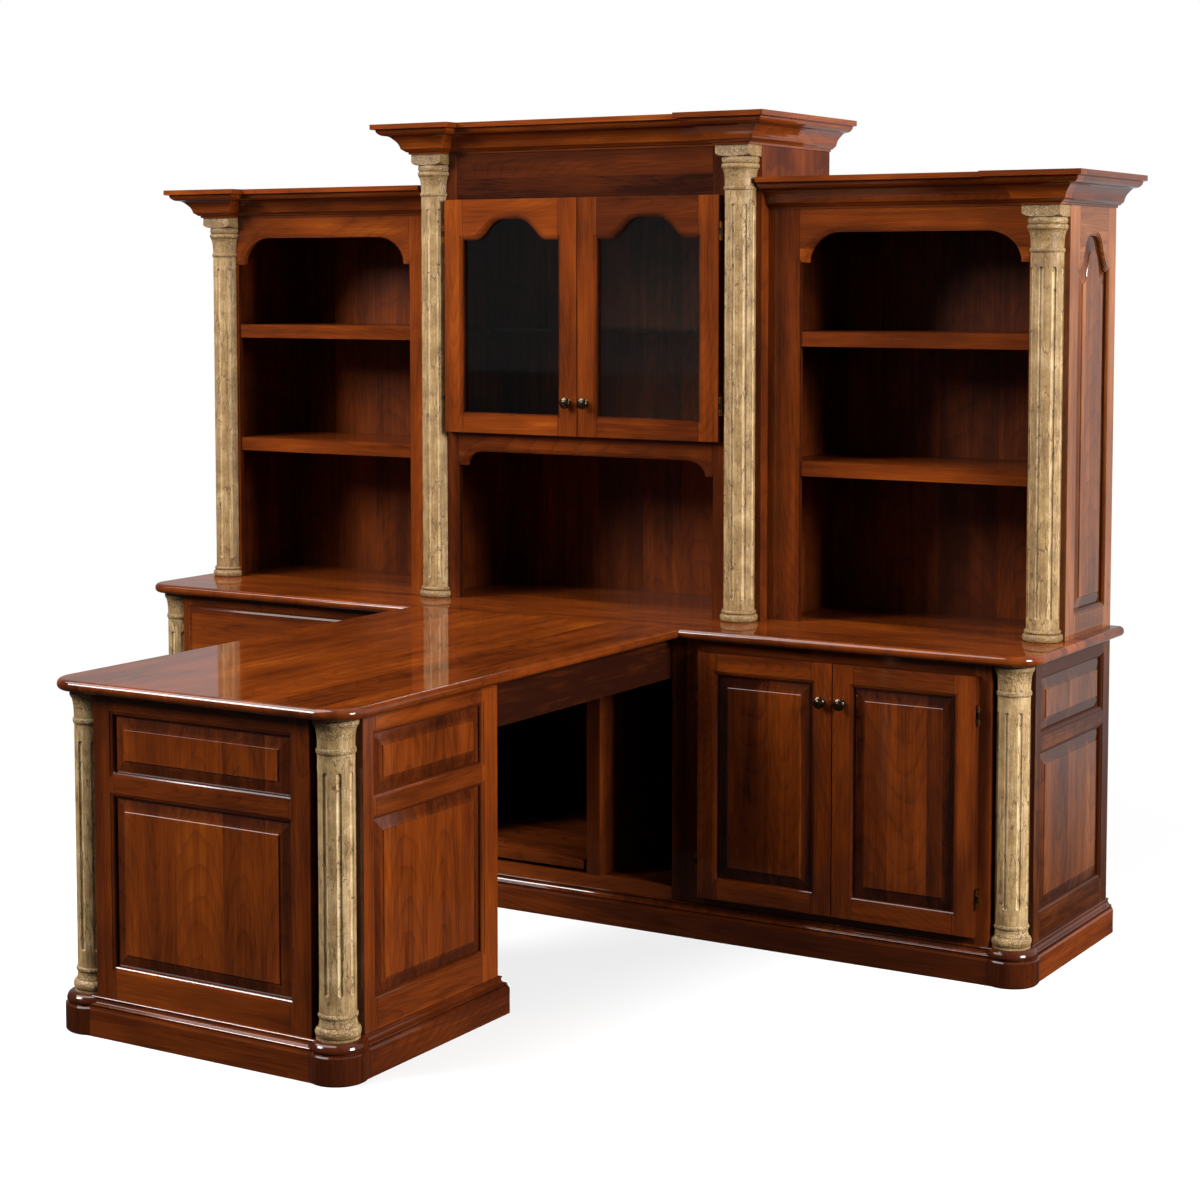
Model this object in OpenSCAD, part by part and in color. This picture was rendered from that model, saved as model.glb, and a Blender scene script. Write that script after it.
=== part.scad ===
// Partners desk: a credenza against the wall, a pedestal joined to it by a kneehole top,
// and a three-part hutch with glass doors, corner columns and a stepped crown.
// Lengths are millimetres. Drawn with y = 0 on the front of the credenza, then moved
// so that the origin is at floor level in the middle of the whole desk.

/* [Tops] */
// Height of the writing surface above the floor
top_z = 775; // [755:1:795]
// Thickness of both tops, which is also the height of their half-round edge
top_t = 25; // [21:1:29]
// Overhang of both tops past the bodies
top_over = 36; // [30:1:42]

/* [Credenza] */
// Width of the credenza body
credenza_w = 2586; // [2546:2:2626]
// Depth of the credenza body
credenza_d = 580; // [560:1:600]
// Width of the opening in the middle section
knee_w = 739; // [731:1:745]
// Width of the middle section's face frame beside that opening
seam_stile = 42; // [38:0.5:46]
// Height of the cabinet floors
floor_z = 118; // [110:1:124]
// Width of face frame that shows beside the doors and drawer fronts, towards the middle
show_in = 41.5; // [37:0.5:46]
// The same towards the column
show_out = 30; // [26:0.5:36]
// Distance of the top edge of the doors and drawer fronts below the tops
front_drop = 30; // [24:1:36]
// Distance from the middle to the near side of the divider
divider_x = 119; // [100:1:135]
// Thickness of the divider
divider_w = 39; // [33:1:45]

/* [Pedestal] */
// Width of the pedestal
pedestal_w = 740; // [726:2:750]
// Length of the pedestal from its front to the kneehole
pedestal_d = 571; // [551:1:591]
// Length of the kneehole between pedestal and credenza
kneehole_d = 787; // [747:1:827]
// Height of the aprons under the top
apron_h = 105; // [85:1:125]
// Thickness of the aprons
apron_t = 20; // [16:1:24]
// Set-back of the aprons from the pedestal sides
apron_in = 4; // [2:0.5:8]

/* [Boards] */
// Thickness of face frames, doors, drawer fronts and panelled frames
frame_t = 20; // [18:0.5:22]
// Thickness of the case boards and shelves
board_t = 18; // [15:0.5:20]
// Thickness of the case backs
back_t = 12; // [8:0.5:14]
// How far doors and drawer fronts cover the face frame
lap = 10; // [8:0.5:12]
// Gap between a door or drawer front and the face frame
door_gap = 1.5; // [1:0.1:2]
// Gap between two doors or two drawer fronts
pair_gap = 3; // [2:0.1:4]

/* [Frame and panel work] */
// Width of the door stiles and rails
stile_w = 54; // [50:0.5:58]
// Width of the sloped border of a raised panel
bevel_w = 28; // [22:0.5:34]
// Height of the small step round the raised field
field_step = 2.5; // [1.5:0.1:3]
// Width of the eased edge of that field
field_ease = 1.2; // [0.8:0.1:1.5]
// Width of the shaped border of the drawer fronts
border_w = 19; // [15:0.5:24]
// Set-back of the raised field from the face of its frame
field_in = 2; // [1.5:0.1:3]
// Width of the moulded inner edge of a frame
mould_w = 10; // [8:0.25:11]
// Depth of the step at the outer side of that moulding and of its quarter round
mould_step = 1.5; // [1:0.1:2]
mould_round = 4.5; // [3.5:0.25:5]
// Width of the flat between that quarter round and the opening
mould_flat = 1.5; // [1:0.1:2]
// Depth of the groove that holds a panel
groove_d = 7; // [5:0.25:9]
// Thickness of a panel's tongue
tongue_t = 6; // [5:0.25:7]
// Play of a panel in its groove, in its own plane
panel_play = 1; // [0.5:0.1:1.5]
// Height of the bottom edge of the tall panels in the ends and pedestal
tall_z0 = 157; // [140:1:170]
// Height of the rail between the tall panels and the low ones above them
mid_rail = 54; // [46:1:62]
// Height of the low panels
low_h = 123; // [112:1:132]
// Distance of the low panels below the tops
low_drop = 47; // [40:1:54]
// Width of the stiles of the end frames
end_stile = 54.5; // [50:0.5:60]

/* [Base moulding and feet] */
// Height of the plinth
plinth_h = 62; // [56:1:68]
// Projection of the plinth
plinth_p = 19; // [15:0.5:22]
// Height of the cap moulding on the plinth
cap_h = 24; // [20:1:28]
// Radius of the turned feet
foot_r = 66; // [63:0.5:69]

/* [Columns] */
// Side of the square notch that takes a base column
notch = 78; // [76:0.5:80]
// Distance of a base column's axis from both faces of the body
col_in = 38.5; // [38:0.25:39.5]
// Radius of the shafts
shaft_r = 39; // [38:0.25:39]
// Radius of the capitals and bases
capital_r = 48; // [46:0.25:50]
// Radius of the rings on the shafts
ring_r = 42; // [41:0.25:43]
// Radius of the flutes
flute_r = 6; // [5:0.25:6.5]
// Depth of the flutes
flute_cut = 4.5; // [3:0.25:5]
// Distance of a base column's flutes above the cap moulding and below the top
base_flute_up = 97; // [85:1:110]
base_flute_down = 116; // [105:1:130]
// Distance of a hutch column's flutes above the top and below the crown
hutch_flute_up = 60; // [50:1:75]
hutch_flute_down = 151; // [140:1:165]

/* [Hutch] */
// Distance of the side bays' front from the front of the credenza
side_y = 235; // [220:1:250]
// Distance of the middle bay's front from the front of the credenza
mid_y = 168; // [158:1:178]
// Half width of the middle bay
mid_x = 511; // [501:1:521]
// Height of the side bays' crown top
side_top = 1887; // [1867:1:1907]
// How far the middle bay's crown top stands above that
mid_step = 158; // [138:1:178]
// Height and projection of the crown
crown_h = 78; // [72:1:84]
crown_p = 78; // [72:1:84]
// How far the crown breaks forward over a column
crown_break = 42; // [40:0.5:44]
// Distance of a hutch column's axis from the side of its bay
hcol_in = 48; // [47:0.25:50]
// Distance of a hutch column's axis behind the front of its bay
hcol_back = 6; // [5:0.25:8]
// Distance from the front of a bay to the front edge of its end frame
end_back = 29; // [27:0.5:31]
// Clear height from the upper shelf of a side bay to the flat of the arch
upper_space = 247; // [235:1:260]
// Distance from the top of the lower shelf to the top of the upper one
shelf_pitch = 325; // [310:1:340]
// Height of the front edge of those shelves
shelf_edge = 37; // [30:1:44]
// Set-back of those shelves' front edge
shelf_in = 10; // [6:0.5:14]

/* [Side bay opening] */
// Width of the face frame between the middle bay and the opening
bay_stile = 87; // [80:1:94]
// Distance from the opening to the end of the hutch
bay_end = 92; // [88:1:98]
// Height of the face frame above the flat of the arch
bay_drop = 58; // [50:1:66]
// Rise of the arch from its springing to its flat
bay_rise = 75; // [66:1:84]
// Width of the ledge at the springing and of the curve after it
bay_ledge = 20; // [14:0.5:26]
bay_run = 90; // [75:1:105]

/* [End panel of the hutch] */
// Width of the frame's front stile and of its back one
endp_front = 66; // [58:1:74]
endp_back = 56; // [50:1:62]
// Height of its bottom rail
endp_sill = 65; // [58:1:72]
// Height of the frame above the peak of the panel
endp_drop = 70; // [62:1:78]
// Rise of the peak above the springing
endp_rise = 86; // [78:1:94]
// Width of the ledge at each side of the peak
endp_ledge = 12; // [8:0.5:16]

/* [Middle bay] */
// Width of the face frame beside the openings
mid_stile = 123; // [119:1:129]
// Height of the frame between the flat of the lower arch and the glass doors
low_gap = 51; // [45:1:57]
// Rise of the lower arch
low_rise = 39; // [34:1:46]
// Width of its ledge and of its curve
low_ledge = 22; // [16:0.5:28]
low_run = 56; // [46:1:66]
// Height of the glass doors
glass_h = 619; // [600:1:635]
// Height of the frieze above them, up to the crown
frieze_h = 122; // [112:1:132]
// How far a glass door covers the frame beside the openings
glass_lap = 28; // [23:0.5:29]
// Width of the glass doors' stiles
glass_stile = 58; // [52:0.5:64]
// Height of a glass door's top rail over the peak of its arch
glass_rail = 52; // [45:1:60]
// Rise of that arch
glass_rise = 55; // [49:1:61]
// Width of the ledges beside that arch
glass_ledge = 39; // [33:1:45]
// Thickness of the panes
pane_t = 4; // [3:0.25:5]
// Thickness of the glass shelf
gshelf_t = 8; // [6:0.5:10]
// Height of its top above the bottom of the glass doors
gshelf_up = 278; // [254:1:304]

/* [Drawers and tray] */
// Thickness of the drawer sides
side_t = 15; // [12:0.5:17]
// Thickness of the drawer bottoms
bottom_t = 9; // [6:0.5:12]
// Clear space behind a drawer box
box_behind = 68; // [58:1:98]
// Clear height below and above a drawer box in its opening
box_below = 8; // [6:1:10]
box_above = 38; // [28:1:58]
// Gap between a drawer box and the side of its opening
box_gap = 13; // [11:0.5:15]
// Height and depth of the runners that engage the drawer sides
runner_h = 20; // [16:0.5:24]
runner_in = 8; // [6:0.25:9]
// Running clearance of drawers and tray on their runners
run_gap = 0.5; // [0.3:0.05:0.8]
// Thickness of the pull-out tray
tray_t = 23; // [20:0.5:26]
// Gap under and beside the tray
tray_gap = 11; // [10:0.5:13]
// Clear space behind the pull-out tray
tray_behind = 48; // [38:1:78]
// How far the runners reach past the back of a drawer box or of the tray
runner_more = 20; // [10:1:30]
// Set-back of the shelf in the cabinet behind the front
cabinet_shelf_in = 60; // [50:1:80]

/* [Hardware] */
// Radius and length of a knob
knob_r = 15; // [12:0.5:17]
knob_l = 27; // [24:0.5:30]
// Distance of a knob from the edge where two doors meet
knob_in = 25; // [22:0.5:30]
// Distance of the knobs below the top of the cabinet doors
knob_drop = 93; // [70:1:120]
// Height of the knobs above the bottom of the glass doors
glass_knob_up = 87; // [74:1:174]
// Distance of the drawer knobs from the middle of a drawer front
drawer_knob = 184; // [150:1:220]
// Radius of a hinge barrel and of its pin
barrel_r = 4.5; // [4:0.1:4.7]
pin_r = 2.2; // [2:0.1:2.5]
// Length of each of the three knuckles of a hinge
knuckle_l = 16; // [12:0.5:20]
// Distance from a door's edge to its hinge axis
hinge_out = 5; // [4.9:0.1:5.5]
// Distance of the hinges from the ends of a door
hinge_end = 90; // [80:1:110]

/* [Hidden] */
$fn = 64;

wood = "#7b3a1c";
dark_wood = "#552412";
cream = "#cdb684";
bronze = "#3c3126";
clear = [0.75, 0.85, 0.85, 0.35];

// Overshoot of a cut past the face that it opens
past = 1;
// Clearance between a tongue and the cheeks of its groove
cheek_gap = 0.1;
// Fit of one finished piece against another
fit = 0.2;
// Gap between a base column and the walls of its notch
seat_gap = 0.3;
// Steps in each curve of an outline
steps = 10;

body_z = top_z - top_t;
half_w = credenza_w / 2;
half_c = knee_w / 2 + seam_stile;
half_p = pedestal_w / 2;
ped_back = -kneehole_d;
ped_front = -kneehole_d - pedestal_d;
origin_y = (top_over - ped_front - credenza_d) / 2;
back_y = credenza_d - back_t;
notch_x = half_w - notch;
cap_z = plinth_h + cap_h;
front_in = half_c + show_in;
front_out = notch_x - show_out;
front_top = body_z - front_drop;
low_z1 = body_z - low_drop;
low_z0 = low_z1 - low_h;
tall_z1 = low_z0 - mid_rail;
front_z0 = floor_z - lap;
front_y = -door_gap - frame_t;
tongue_y = frame_t - 4 - tongue_t;
meet_x = (front_in + front_out) / 2;
door_split = (front_z0 + front_top) / 2;
side_base = side_top - crown_h;
mid_top = side_top + mid_step;
mid_base = mid_top - crown_h;
bay_x0 = mid_x + bay_stile;
bay_x1 = half_w - bay_end;
bay_arch = side_base - bay_drop;
bay_spring = bay_arch - bay_rise;
shelf_z = [bay_arch - upper_space - shelf_pitch, bay_arch - upper_space];
endp_y0 = side_y + end_back + endp_front;
endp_y1 = credenza_d - endp_back;
endp_z0 = top_z + endp_sill;
endp_peak = side_base - endp_drop;
endp_spring = endp_peak - endp_rise;
mid_open = mid_x - mid_stile;
glass_z1 = mid_base - frieze_h;
glass_z0 = glass_z1 - glass_h;
glass_out = mid_open + glass_lap;
glass_peak = glass_z1 - glass_rail;
glass_spring = glass_peak - glass_rise;
gshelf_z = glass_z0 + gshelf_up;
low_arch = glass_z0 - low_gap;
low_spring = low_arch - low_rise;
box_l = back_y - box_behind;
box_h = door_split - lap - floor_z - box_below - box_above;
tray_l = back_y - tray_behind;
knob_z = front_top - knob_drop;
glass_knob_z = glass_z0 + glass_knob_up;
tray_x0 = -knee_w / 2 + tray_gap;
tray_x1 = divider_x - tray_gap;
tray_z0 = floor_z + tray_gap;
// Where the two tops butt together, just behind the centre of the half-round edge
join_y = -top_over + top_t / 2 + 2;
runner_y0 = 2 * side_t + past;
mid_front = mid_y - door_gap - frame_t;

// Moves a piece from its drawing place to the desk's own origin
module place() translate([0, origin_y, 0]) children();

// The piece and its mirror image on the other side of the desk
module both() {
  children();
  mirror([1, 0, 0]) children();
}

module left() mirror([1, 0, 0]) children();

// A box between two opposite corners
module block(p, q) translate(p) cube(q - p);

// A bar along x whose outline is given as [y, z]
module bar_x(x0, x1, outline)
  translate([x0, 0, 0]) rotate([90, 0, 90]) linear_extrude(x1 - x0) polygon(outline);

// A plate facing the front whose outline is given as [x, z]
module plate(y0, y1, outline)
  translate([0, y1, 0]) rotate([90, 0, 0]) linear_extrude(y1 - y0) polygon(outline);

// Turns front-facing work to face the right-hand end at x
module facing_right(x) translate([x, 0, 0]) rotate([0, 0, 90]) children();

// Turns front-facing work to face the wall at y
module facing_back(y) translate([0, y, 0]) rotate([0, 0, 180]) children();

function flip(pts) = [for (i = [len(pts) - 1:-1:0]) pts[i]];

// Work with one section across its width and the same section up its height
module mitred(o, section_x, section_z) intersection() {
  translate([0, 0, o[1] - 2 * groove_d]) linear_extrude(o[3] - o[1] + 4 * groove_d)
    polygon(section_x);
  bar_x(o[0] - 2 * groove_d, o[2] + 2 * groove_d, [for (p = section_z) [p[1], p[0]]]);
}

// Moulded inner edge of a frame as [distance outside the opening, depth]
function mould_edge() = concat([[mould_w, -past]], [for (i = [0:4]) let(a = 22.5 * i)
  [mould_w - (mould_w - mould_flat) * sin(a), mould_step + mould_round * (1 - cos(a))]],
  [[0, mould_step + mould_round], [0, frame_t + past]]);
// The same edge round an arch, cut in three steps
function mould_steps() = [[mould_w, mould_step], [mould_w * 0.6, mould_step + mould_round * 0.3],
  [mould_w * 0.3, mould_step + mould_round * 0.7]];

// Openings are [x0, z0, x1, z1] in the face of a frame
function mould_section(a, b) = concat([for (p = mould_edge()) [a - p[0], p[1]]],
  flip([for (p = mould_edge()) [b + p[0], p[1]]]));

function panel_section(a, b) = let(t = groove_d - panel_play) [
  [a - t, tongue_y + tongue_t], [a - t, tongue_y], [a, tongue_y],
  [a + bevel_w, field_in + field_step], [a + bevel_w, field_in + field_ease],
  [a + bevel_w + field_ease, field_in], [b - bevel_w - field_ease, field_in],
  [b - bevel_w, field_in + field_ease], [b - bevel_w, field_in + field_step], [b, tongue_y],
  [b + t, tongue_y], [b + t, tongue_y + tongue_t]];

// Shaped border of a drawer front, from its edge to the raised field
function front_edge() = [[0, frame_t], [0, frame_t * 0.45], [border_w * 0.15, frame_t * 0.3],
  [border_w * 0.4, frame_t * 0.15], [border_w * 0.9, field_step], [border_w, field_step], [border_w, 0]];
function front_section(a, b) = concat([for (p = front_edge()) [a + p[0], p[1]]],
  flip([for (p = front_edge()) [b - p[0], p[1]]]));

// Opening with a moulded front edge and a groove for a panel all round
module panel_opening(o) {
  mitred(o, mould_section(o[0], o[2]), mould_section(o[1], o[3]));
  block([o[0] - groove_d, tongue_y - cheek_gap, o[1] - groove_d],
    [o[2] + groove_d, tongue_y + tongue_t + cheek_gap, o[3] + groove_d]);
}

// Raised and fielded panel for that opening
module raised_panel(o) mitred(o, panel_section(o[0], o[2]), panel_section(o[1], o[3]));

// Board with grooved openings, its face on y = 0
module panelled_board(x0, z0, x1, z1, openings) difference() {
  block([x0, 0, z0], [x1, frame_t, z1]);
  for (o = openings) panel_opening(o);
}

// Flat-topped opening with a ledge and a quarter ellipse at each side, grown by g
function arch(x0, x1, z0, zs, zt, ledge, run, g = 0) = let(
  xa = x0 + ledge + run, xb = x1 - ledge - run, rise = zt - zs,
  up = [for (i = [0:steps]) let(a = 90 * i / steps) [xa - (run + g) * cos(a), zs + g + rise * sin(a)]],
  down = [for (i = [0:steps]) let(a = 90 * i / steps) [xb + (run + g) * sin(a), zs + g + rise * cos(a)]])
  concat([[x0 - g, z0 - g], [x0 - g, zs + g]], up, down, [[x1 + g, zs + g], [x1 + g, z0 - g]]);

// Opening with a ledge at each side of an ogee peak, grown by g
function ogee(x0, x1, z0, zs, zt, ledge, g = 0) = let(
  a = x0 - g + ledge, b = x1 + g - ledge)
  concat([[x0 - g, z0 - g], [x0 - g, zs + g]],
    [for (i = [0:2 * steps]) let(t = i / (2 * steps))
      [a + (b - a) * t, zs + g + (zt - zs) * (1 - cos(180 * sin(180 * t))) / 2]],
    [[x1 + g, zs + g], [x1 + g, z0 - g]]);

// Solid through outlines [y, points] of equal length, front first
module loft(rings) {
  n = len(rings[0][1]);
  m = len(rings);
  points = [for (r = rings) for (p = r[1]) [p[0], r[0], p[1]]];
  sides = [for (k = [0:m - 2]) for (j = [0:n - 1]) let(j2 = (j + 1) % n)
    [k * n + j, (k + 1) * n + j, (k + 1) * n + j2, k * n + j2]];
  polyhedron(points, concat([[for (j = [0:n - 1]) j]], [[for (j = [n - 1:-1:0]) (m - 1) * n + j]], sides));
}

// Top with a half-round edge on the front and both ends, and round front corners
module nosed_top(x, y0, y1, corner) {
  r = top_t / 2;
  zc = body_z + r;
  block([-x + corner, y0 + r, body_z], [x - corner, y1, top_z]);
  block([-x + r, y0 + corner, body_z], [x - r, y1, top_z]);
  translate([-x + corner, y0 + r, zc]) rotate([0, 90, 0]) cylinder(r = r, h = 2 * (x - corner));
  both() {
    translate([x - r, y1, zc]) rotate([90, 0, 0]) cylinder(r = r, h = y1 - y0 - corner);
    translate([x - corner, y0 + corner, zc]) rotate(-90) rotate_extrude(angle = 90) {
      translate([0, -r]) square([corner - r, top_t]);
      translate([corner - r, 0]) circle(r);
    }
  }
}

// Moulding of section [projection, height] round a block in plan. The last list says on
// which sides it projects: left, right and back
module wrap(x0, x1, y0, y1, section, sides)
  intersection() {
    bar_x(x0 - 2 * crown_p, x1 + 2 * crown_p, concat([for (s = section) [y0 - s[0], s[1]]],
      flip([for (s = section) [y1 + sides[2] * s[0], s[1]]])));
    plate(y0 - 2 * crown_p, y1 + 2 * crown_p,
      concat([for (s = section) [x0 - sides[0] * s[0], s[1]]],
        flip([for (s = section) [x1 + sides[1] * s[0], s[1]]])));
  }

// Bulge of half-elliptical section between two heights, as [radius, height]
function bead(r_in, r_out, z0, z1) = [for (i = [0:8]) let(a = -90 + 22.5 * i)
  [r_in + (r_out - r_in) * cos(a), (z0 + z1) / 2 + (z1 - z0) / 2 * sin(a)]];

// Hollow curve that widens upwards
function bell(r0, r1, z0, z1) = [for (i = [1:6]) let(a = 15 * i)
  [r0 + (r1 - r0) * (1 - cos(a)), z0 + (z1 - z0) * sin(a)]];

// Crown section: fascia, quarter round, cove, bead and fillet, top first turned bottom first
function crown_section(top) = let(p = crown_p / 78, h = crown_h / 78) flip([
  for (s = [[78, 0], [78, 13], [74, 14], [67, 15], [66.5, 19], [64, 23], [60, 26.5], [56, 29],
    [50, 30], [43, 31], [38, 34], [35, 37], [30, 42], [25, 48], [22, 54], [20, 60], [19, 64],
    [15, 67], [12, 69], [9, 72], [4, 72.5], [4, 78]]) [s[0] * p, top - s[1] * h]]);

plinth_section = [[plinth_p, 0], [plinth_p, plinth_h - 5], [plinth_p - 2, plinth_h]];
// Fillet, bead, cove and small top bead
cap_section = concat([[plinth_p - 3, plinth_h], [plinth_p - 3, plinth_h + 3]],
  bead(plinth_p - 8, plinth_p - 4, plinth_h + 3, plinth_h + 9),
  [for (i = [0:5]) let(a = 18 * i) [5 + (plinth_p - 14) * (1 - sin(a)),
    plinth_h + 10 + (cap_h - 15) * (1 - cos(a))]],
  bead(4, 7, cap_z - 5, cap_z));

// Turned foot: drum, groove, bead and round shoulder
module foot_body(grow = 0) rotate_extrude() polygon(concat([[0, 0], [foot_r - 4 + grow, 0],
  [foot_r + grow, 4], [foot_r + grow, plinth_h - 3], [foot_r - 3 + grow, plinth_h],
  [foot_r - 7 + grow, plinth_h + 1], [foot_r - 7 + grow, plinth_h + 3], [foot_r - 4 + grow, plinth_h + 5]],
  [for (i = [0:6]) let(a = 15 * i) [capital_r + grow + (foot_r - 3 - capital_r) * cos(a),
    plinth_h + 8 + (cap_h - 8) * sin(a)]], [[0, cap_z]]));

// What a foot or base column must not enter: the body behind its notch, axis on z
module notch_walls(clear) {
  block([-foot_r - 20, -col_in, -past], [col_in - notch + clear, foot_r + 20, top_z]);
  block([-foot_r - 20, notch - col_in - clear, -past], [col_in, foot_r + 20, top_z]);
}

module flutes(r, z0, z1, angles) for (a = angles) rotate(a)
  translate([r + flute_r - flute_cut, 0, 0]) {
    translate([0, 0, z0]) cylinder(r = flute_r, h = z1 - z0);
    translate([0, 0, z0]) sphere(flute_r);
    translate([0, 0, z1]) sphere(flute_r);
  }

// Base column: torus and ring below, astragal, bell and lip above
module base_column() difference() {
  rotate_extrude() polygon(concat([[0, cap_z], [capital_r - 2, cap_z], [capital_r - 2, cap_z + 4]],
    bead(shaft_r + 2, capital_r, cap_z + 4, cap_z + 26),
    [[shaft_r + 2, cap_z + 28], [shaft_r, cap_z + 36], [shaft_r, cap_z + 44]],
    bead(shaft_r, ring_r, cap_z + 44, cap_z + 54), [[shaft_r, cap_z + 54], [shaft_r, body_z - 75]],
    bead(shaft_r, ring_r, body_z - 75, body_z - 62), bell(shaft_r, capital_r - 2, body_z - 62, body_z - 17),
    bead(capital_r - 3, capital_r, body_z - 16, body_z - 4), [[capital_r - 1, body_z - 3],
    [capital_r - 1, body_z], [0, body_z]]));
  notch_walls(seat_gap);
  flutes(shaft_r, cap_z + base_flute_up, body_z - base_flute_down, [-135:45:45]);
}

// Where the base columns stand, right-hand side
module at_credenza_corner() translate([half_w - col_in, col_in, 0]) children();
module at_pedestal_corner() translate([half_p - col_in, ped_front + col_in, 0]) children();

// Room that a foot takes out of the plinth and cap
module foot_room() {
  foot_body(fit);
  block([0, -foot_r - 40, -past], [foot_r + 40, 0, cap_z + past]);
}

// Hutch column from z0 up to its square abacus at z1, axis on z
module hutch_column(z0, z1) {
  ab = hcol_in - 1;
  intersection() {
    block([-ab, -ab, z0], [ab, ab, z1]);
    rotate_extrude() polygon([[0, z1 - 28], [ab, z1 - 28], for (i = [1:6]) let(a = 15 * i)
      [ab + 21 * sin(a), z1 - 15 - 13 * cos(a)], [ab + 21, z1], [0, z1]]);
  }
  difference() {
    rotate_extrude() polygon(concat([[0, z0]], bead(shaft_r + 3, capital_r, z0, z0 + 19),
      bead(shaft_r, ring_r + 2, z0 + 19, z0 + 29), [[shaft_r, z0 + 31], [shaft_r, z1 - 112]],
      bead(shaft_r, ring_r, z1 - 112, z1 - 101), bell(shaft_r, capital_r - 1, z1 - 101, z1 - 58),
      bead(capital_r - 3, capital_r, z1 - 57, z1 - 46), bead(capital_r - 5, capital_r - 1, z1 - 45, z1 - 28),
      [[0, z1 - 28]]));
    flutes(shaft_r, z0 + hutch_flute_up, z1 - hutch_flute_down, [-135:45:0]);
  }
}

// A corner column of a bay whose frame is at y and whose side is at x, cut to its seat
module seated_column(x, y, z1) difference() {
  translate([x - hcol_in, y + hcol_back, 0]) hutch_column(top_z, z1);
  block([x - 3 * hcol_in, y - fit, top_z - past], [x - hcol_in + fit, y + 3 * hcol_in, z1 + past]);
  block([x - frame_t - fit, y + end_back - fit, top_z - past], [x + hcol_in, y + 3 * hcol_in, z1 + past]);
}

// Carcass between two sides with floor and back, open to the front
module cabinet_box() {
  difference() {
    block([half_c, frame_t, 0], [notch_x, credenza_d, body_z]);
    block([half_c + board_t, frame_t - past, floor_z], [notch_x - board_t, back_y, body_z - board_t]);
    block([half_c + board_t, frame_t - past, -past], [notch_x - board_t, back_y, floor_z - board_t]);
  }
  block([notch_x, notch, 0], [half_w - frame_t, notch + board_t, body_z]);
  block([notch_x, back_y - board_t, 0], [half_w - frame_t, credenza_d, body_z]);
}

module cabinet_face(rails) difference() {
  block([half_c, 0, 0], [notch_x, frame_t, body_z]);
  for (r = rails) block([front_in + lap, -past, r[0]], [front_out - lap, frame_t + past, r[1]]);
}

// Drawer box on side runners between its opening's sides, floor at z0
module drawer_box(z0) difference() {
  block([front_in + lap + box_gap, -door_gap, z0], [front_out - lap - box_gap, box_l, z0 + box_h]);
  block([front_in + lap + box_gap + side_t, side_t, z0 + bottom_t],
    [front_out - lap - box_gap - side_t, box_l - side_t, z0 + box_h + past]);
  for (s = [0, 1]) drawer_groove(s, z0 + box_h / 2 - runner_h / 2);
}

module drawer_groove(far, z) {
  x = far ? front_out - lap - box_gap - runner_in - run_gap : front_in + lap + box_gap - past;
  block([x, 2 * side_t, z - run_gap], [x + runner_in + run_gap + past, box_l + past, z + runner_h + run_gap]);
}

module drawer_runner_pair(z) {
  block([half_c + board_t, runner_y0, z],
    [front_in + lap + box_gap + runner_in, box_l + runner_more, z + runner_h]);
  block([front_out - lap - box_gap - runner_in, runner_y0, z],
    [notch_x - board_t, box_l + runner_more, z + runner_h]);
}

lower_box_z = floor_z + box_below;
upper_box_z = door_split + lap + box_below;
function drawer_front(k) = k ? [front_in, door_split + pair_gap / 2, front_out, front_top]
  : [front_in, front_z0, front_out, door_split - pair_gap / 2];

module drawer_face(k) translate([0, front_y, 0]) intersection() {
  o = drawer_front(k);
  block([o[0], 0, o[1]], [o[2], frame_t, o[3]]);
  mitred(o, front_section(o[0], o[2]), front_section(o[1], o[3]));
}

// Knob on a front at y, its axis along y
module knob(x, y, z) translate([x, y, z]) rotate([90, 0, 0]) rotate_extrude() polygon(concat(
  [[0, 0], [knob_r * 0.62, 0], [knob_r * 0.62, 2], [knob_r * 0.45, 4], [knob_r * 0.4, knob_l * 0.45]],
  [for (i = [0:9]) let(a = -90 + 20 * i) [knob_r * (0.45 + 0.55 * cos(a)),
    knob_l * 0.72 + knob_l * 0.22 * sin(a)]], [[knob_r * 0.3, knob_l], [0, knob_l]]));

module drawer_knobs(k) {
  o = drawer_front(k);
  for (s = [-1, 1]) knob(meet_x + s * drawer_knob, front_y, (o[1] + o[3]) / 2);
}

// Fixed half of a hinge: two outer knuckles, the pin and two tabs back to the frame
module fixed_hinge(x, y, z) translate([x, y, z]) {
  for (s = [-1, 1]) translate([0, 0, s * knuckle_l]) {
    translate([0, 0, -knuckle_l / 2]) cylinder(r = barrel_r, h = knuckle_l);
    block([-past, 0, -knuckle_l / 2], [past, hinge_reach, knuckle_l / 2]);
  }
  translate([0, 0, -knuckle_l * 1.5]) cylinder(r = pin_r, h = 3 * knuckle_l);
}
hinge_reach = frame_t + door_gap - barrel_r;

// Moving half: the middle knuckle and a leaf on the door's edge, which lies towards -x
module moving_hinge(x, y, z) translate([x, y, z]) difference() {
  l = knuckle_l - 2 * fit;
  union() {
    translate([0, 0, -l / 2]) cylinder(r = barrel_r, h = l);
    block([-hinge_out, 0, -l / 2], [-hinge_out + 1.6, frame_t - barrel_r, l / 2]);
    block([-hinge_out, 0, -l / 2], [-pin_r - 1, barrel_r - 2, l / 2]);
  }
  translate([0, 0, -knuckle_l]) cylinder(r = pin_r + 0.05, h = 2 * knuckle_l);
}

function hinge_heights(z0, z1) = [z0 + hinge_end, z1 - hinge_end];
hinge_x = front_out + hinge_out;
hinge_y = front_y + barrel_r;
glass_hinge_x = glass_out + hinge_out;
glass_hinge_y = mid_front + barrel_r;

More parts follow.
